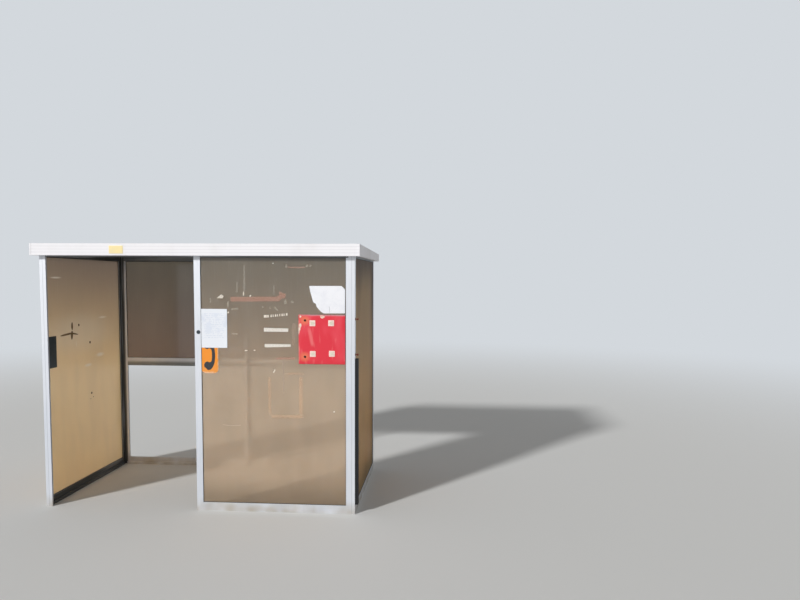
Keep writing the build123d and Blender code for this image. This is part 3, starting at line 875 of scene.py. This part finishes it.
class SHELTER_OT_end_marks(bpy.types.Operator):
    """Scorch marks and burnt spots on the inside of the left pane"""

    bl_idname = "bus_shelter.end_marks"
    bl_label = "Marks on the Left Pane"

    def execute(self, context):
        # the inside of the left pane faces right: along it is +Y
        inside = {"wall": "right", "face": LEFT_PANE_INSIDE}

        def line(width, points):
            """Strip through (Y, Z) in mm whose width swells from both ends to the middle."""
            path = curve_through(mm(points))
            t = np.linspace(0, 1, len(path))
            return strip(path, width * MM * np.clip(4 * t * (1 - t), 0.05, 1) ** 0.5, 0.35 * MM)

        put("cross_scratches", [
            line(17, [(-425, 1423), (-350, 1428), (-250, 1432), (-145, 1416)]),
            line(34, [(-242, 1456), (-246, 1420), (-249, 1378)]),
            line(28, [(-238, 1532), (-240, 1496), (-239, 1462)]),
        ], residue("scorched_scratch", "735B40", "8C704E", 0.7), "dark_plate", **inside)
        # Y, Z and radius in mm
        spots = mm([(-131, 1501, 11), (52, 1326, 12), (59, 843, 11), (88, 802, 5), (40, 790, 4)])
        holes = [plate(disc((y, z), radius, 16), 0.5 * MM, 0.2 * MM) for y, z, radius in spots]
        put("burnt_spots", holes, residue("burnt_spot", "33261C", "6B4326", 0.7), "dark_plate", **inside)
        return {"FINISHED"}


class SHELTER_OT_stage(bpy.types.Operator):
    """Pale floor, soft key and fill light, and the camera at the photograph's angle"""

    bl_idname = "bus_shelter.stage"
    bl_label = "Stage"

    def execute(self, context):
        scene, light = context.scene, context.scene.shelter_light

        # floor: a disc whose rings widen with the square of their number
        radius = FLOOR_RADIUS * np.linspace(0.04, 1, 12) ** 2
        spread = radius[:, None, None] * disc((0, 0), 1, 48)
        rings = np.concatenate((spread, np.full(spread.shape[:2] + (1,), FLOOR_LEVEL)), -1)
        points, quads, fans = skin(rings[::-1], (0, 0, -0.02), (0, 0, FLOOR_LEVEL))
        mesh = bpy.data.meshes.new("floor")
        mesh.from_pydata(points.tolist(), [], quads.tolist() + fans.tolist())
        floor = bpy.data.objects.new("floor", mesh)
        scene.collection.objects.link(floor)

        # its finish: matt off-white that fades, from 4 to 16 m out, to the pale grey of the backdrop
        ground = Finish("studio_floor", "DEDEDC")
        away = ground.add("VectorMath", {0: ground.place}, out="Value", operation="LENGTH")
        matt = ground.add("BsdfPrincipled", {"Base Color": ground.colour, "Roughness": 0.9})
        glow = ground.add("Emission", {"Color": linear(BACKDROP), "Strength": 1.0})
        both = ground.add("MixShader", {0: ground.rise(away, 4.0, 16.0), 1: matt, 2: glow})
        ground.add("OutputMaterial", {"Surface": both})
        mesh.materials.append(ground.material)

        # key: a broad soft sun from the front left
        lamp = bpy.data.lights.new("key", "SUN")
        lamp.energy = light.key_strength
        lamp.angle = light.key_softness
        key = bpy.data.objects.new("key", lamp)
        key.rotation_euler = (math.pi / 2 - light.key_height, 0, -light.key_turn)
        scene.collection.objects.link(key)

        # world: pale grey to the eye, to gloss and through panes, and a softer white fill to everything else
        scene.world = bpy.data.worlds.new("studio")
        sky = Nodes(scene.world)
        path = sky.add("LightPath").node.outputs
        seen = path["Is Camera Ray"]
        for kind in ("Is Glossy Ray", "Is Transmission Ray"):
            seen = sky.add("Math", {0: seen, 1: path[kind]}, operation="MAXIMUM")
        strength = sky.add("MapRange", {"Value": seen, "To Min": light.fill_strength, "To Max": 1.0})
        colour = sky.add("Mix", {0: seen, 6: (1, 1, 1, 1), 7: linear(BACKDROP)}, out=2, data_type="RGBA")
        sky.add("OutputWorld", {"Surface": sky.add("Background", {"Color": colour, "Strength": strength})})

        # camera: yaw and pitch turn the view, and roll turns the image
        forward = np.array([-math.sin(YAW) * math.cos(PITCH), math.cos(YAW) * math.cos(PITCH), -math.sin(PITCH)])
        right = np.array([math.cos(YAW), math.sin(YAW), 0.0])
        up = np.cross(right, forward)
        turn = np.eye(4)
        turn[:3, 0] = right * math.cos(ROLL) + up * math.sin(ROLL)
        turn[:3, 1] = up * math.cos(ROLL) - right * math.sin(ROLL)
        turn[:3, 2] = -forward
        turn[:3, 3] = EYE
        data = bpy.data.cameras.new("camera")
        data.sensor_width = SENSOR_WIDTH
        data.lens = FOCAL_LENGTH / IMAGE_WIDTH * SENSOR_WIDTH
        data.shift_x, data.shift_y = SHIFT_RIGHT / IMAGE_WIDTH, SHIFT_UP / IMAGE_WIDTH
        camera = bpy.data.objects.new("camera", data)
        camera.matrix_world = Matrix(turn.tolist())
        scene.collection.objects.link(camera)
        scene.camera = camera
        scene.view_settings.view_transform = "Standard"
        return {"FINISHED"}


OPERATORS = (
    SHELTER_OT_frame,
    SHELTER_OT_notice,
    SHELTER_OT_sticker,
    SHELTER_OT_sign,
    SHELTER_OT_board,
    SHELTER_OT_post_fittings,
    SHELTER_OT_front_marks,
    SHELTER_OT_end_marks,
    SHELTER_OT_stage,
)


class SHELTER_PT_panel(bpy.types.Panel):
    """Lists the shelter's pieces and their settings"""

    bl_label = "Bus Shelter"
    bl_space_type = "VIEW_3D"
    bl_region_type = "UI"
    bl_category = "Bus Shelter"

    def draw(self, context):
        for operator in OPERATORS:
            self.layout.operator(operator.bl_idname)
        for name in GROUPS:
            group, box = getattr(context.scene, name), self.layout.box()
            for key in group.__annotations__:
                box.prop(group, key)


GROUPS = {"shelter_sizes": ShelterSizes, "shelter_colours": ShelterColours, "shelter_light": ShelterLight}


def register():
    """Register the groups, operators and panel."""
    for name, group in GROUPS.items():
        bpy.utils.register_class(group)
        setattr(bpy.types.Scene, name, PointerProperty(type=group))
    for part in (*OPERATORS, SHELTER_PT_panel):
        bpy.utils.register_class(part)


def unregister():
    """Take back what register added."""
    for part in (SHELTER_PT_panel, *reversed(OPERATORS)):
        bpy.utils.unregister_class(part)
    for name, group in GROUPS.items():
        delattr(bpy.types.Scene, name)
        bpy.utils.unregister_class(group)


def main():
    """Dress the shelter and set the stage."""
    register()
    for operator in OPERATORS:
        getattr(bpy.ops.bus_shelter, operator.bl_idname.split(".")[1])()


if __name__ == "__main__":
    main()
